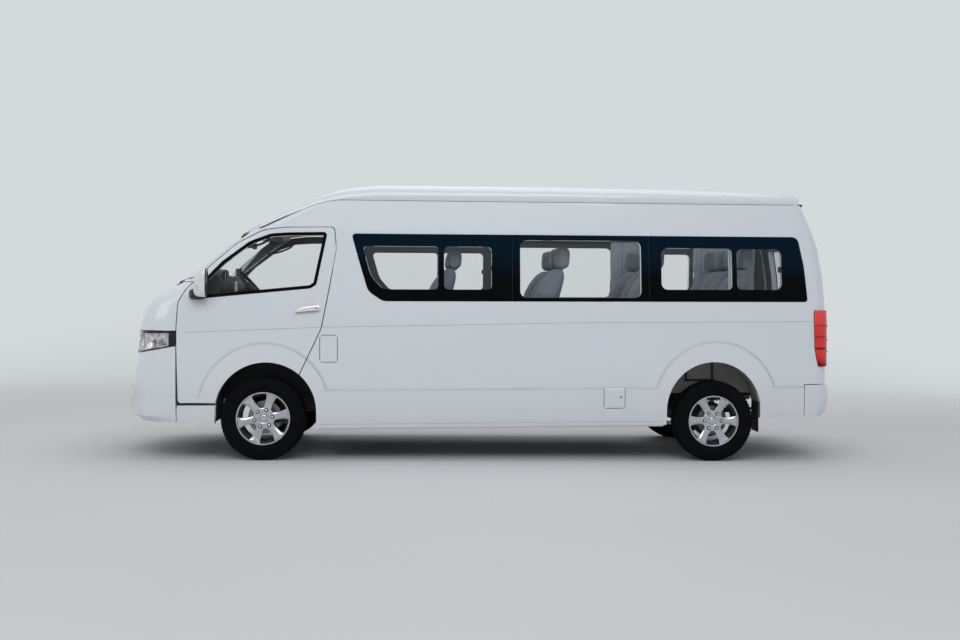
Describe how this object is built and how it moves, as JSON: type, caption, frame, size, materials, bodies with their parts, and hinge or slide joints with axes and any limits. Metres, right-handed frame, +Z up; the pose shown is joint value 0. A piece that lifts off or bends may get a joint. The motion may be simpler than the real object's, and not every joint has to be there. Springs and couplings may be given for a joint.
{
  "type": "minibus",
  "caption": "High-roof minibus with a raised roof cap, swinging front doors, rear tailgate, steered front wheels and rows of passenger seats behind side glass.",
  "frame": {"origin": "on the ground, midway along the overall length and on the centre plane", "axes": "-X towards the nose, -Y towards the driver's side, +Z up"},
  "size_m": [6.0024, 2.17, 2.3441],
  "materials": {
    "white_paint": "gloss",
    "dark_glass": "smooth",
    "clear_glass": "smooth",
    "lamp_clear": "smooth",
    "lamp_red": "gloss",
    "chrome": "polished",
    "black_plastic": "matt",
    "underbody": "satin",
    "iron": "rough",
    "engine": "cast",
    "alloy": "satin",
    "tyre": "matt",
    "disc": "turned",
    "dash": "grained",
    "seat_cloth": "woven",
    "curtain_cloth": "woven",
    "tank": "matt",
    "mirror_paint": "gloss"
  },
  "bodies": {
    "body": {"side_left": "white_paint", "side_right": "white_paint", "sliding_door": "white_paint", "side_glass": "dark_glass", "tail_lamps": "lamp_red", "step_panels": "white_paint", "head_lamps": "lamp_clear", "grille": "chrome", "front_bumper": "white_paint", "front_wings": "white_paint", "front_frame": "white_paint", "windscreen": "clear_glass", "bulkhead": "underbody", "roof_cap": "white_paint", "rear_frame": "white_paint", "rear_bumper": "white_paint", "wheel_housings": "black_plastic", "floor_chassis": "underbody", "engine_block": "engine", "dashboard": "dash", "seat_cushions": "seat_cloth", "seat_backs": "seat_cloth", "curtains": "curtain_cloth", "rear_axle": "iron", "gearbox": "engine", "propshaft": "iron", "exhaust": "iron", "fuel_tank": "tank", "front_crossmember": "underbody", "slider_handle": "chrome", "mudflaps": "black_plastic"},
    "driver_door": {"door_left": "white_paint", "door_glass_left": "clear_glass", "mirror_left": "mirror_paint", "handle_left": "chrome"},
    "passenger_door": {"door_right": "white_paint", "door_glass_right": "clear_glass", "mirror_right": "mirror_paint", "handle_right": "chrome"},
    "bonnet": {"bonnet": "white_paint"},
    "tailgate": {"tailgate": "white_paint", "tailgate_glass": "dark_glass"},
    "fuel_lid": {"fuel_lid": "white_paint"},
    "service_lid": {"service_lid": "white_paint"},
    "steering_wheel": {"steering_wheel": "black_plastic"},
    "knuckle_left": {"knuckle_left": "iron"},
    "knuckle_right": {"knuckle_right": "iron"},
    "wheel_front_left": {"tyre_front_left": "tyre", "rim_front_left": "alloy", "brake_disc_front_left": "disc"},
    "wheel_front_right": {"tyre_front_right": "tyre", "rim_front_right": "alloy", "brake_disc_front_right": "disc"},
    "wheel_rear_left": {"tyre_rear_left": "tyre", "rim_rear_left": "alloy"},
    "wheel_rear_right": {"tyre_rear_right": "tyre", "rim_rear_right": "alloy"}
  },
  "joints": [
    {"name": "driver_door_hinge", "type": "hinge", "parent": "body", "child": "driver_door", "pos_m": [-2.46152, -0.921, 0.9904], "axis": [0.0148, 0, -0.9999], "range_deg": [0, 68]},
    {"name": "passenger_door_hinge", "type": "hinge", "parent": "body", "child": "passenger_door", "pos_m": [-2.46152, 0.921, 0.9904], "axis": [-0.0148, 0, 0.9999], "range_deg": [0, 68]},
    {"name": "bonnet_hinge", "type": "hinge", "parent": "body", "child": "bonnet", "pos_m": [-2.73612, 0, 1.36636], "axis": [0, 1, 0], "range_deg": [0, 55]},
    {"name": "tailgate_hinge", "type": "hinge", "parent": "body", "child": "tailgate", "pos_m": [2.77388, 0, 2.14819], "axis": [0, -1, 0], "range_deg": [0, 82]},
    {"name": "fuel_lid_hinge", "type": "hinge", "parent": "body", "child": "fuel_lid", "pos_m": [-1.3602, -0.9265, 0.90973], "axis": [0.0148, 0, -0.9999], "range_deg": [0, 95]},
    {"name": "service_lid_hinge", "type": "hinge", "parent": "body", "child": "service_lid", "pos_m": [0.97772, -0.936, 0.52836], "axis": [0.0148, 0, -0.9999], "range_deg": [0, 95]},
    {"name": "steer_left", "type": "hinge", "parent": "body", "child": "knuckle_left", "pos_m": [-1.80675, -0.725, 0.338], "axis": [-0.0148, 0, 0.9999], "range_deg": [-32, 32]},
    {"name": "steer_right", "type": "hinge", "parent": "body", "child": "knuckle_right", "pos_m": [-1.80675, 0.725, 0.338], "axis": [-0.0148, 0, 0.9999], "range_deg": [-32, 32]},
    {"name": "steering_wheel_turn", "type": "hinge", "parent": "body", "child": "steering_wheel", "pos_m": [-1.98467, -0.42, 1.40852], "axis": [0.7402, 0, 0.6724], "range_deg": [-576, 576]},
    {"name": "spin_front_left", "type": "hinge", "parent": "knuckle_left", "child": "wheel_front_left", "pos_m": [-1.80675, -0.8275, 0.338], "axis": [0, 1, 0], "continuous": true},
    {"name": "spin_front_right", "type": "hinge", "parent": "knuckle_right", "child": "wheel_front_right", "pos_m": [-1.80675, 0.8275, 0.338], "axis": [0, 1, 0], "continuous": true},
    {"name": "spin_rear_left", "type": "hinge", "parent": "body", "child": "wheel_rear_left", "pos_m": [1.91325, -0.8275, 0.338], "axis": [0, 1, 0], "continuous": true},
    {"name": "spin_rear_right", "type": "hinge", "parent": "body", "child": "wheel_rear_right", "pos_m": [1.91325, 0.8275, 0.338], "axis": [0, 1, 0], "continuous": true}
  ],
  "couplings": [
    {"joint": "steer_right", "follows": "steer_left", "ratio": 1},
    {"joint": "steering_wheel_turn", "follows": "steer_left", "ratio": 18}
  ]
}
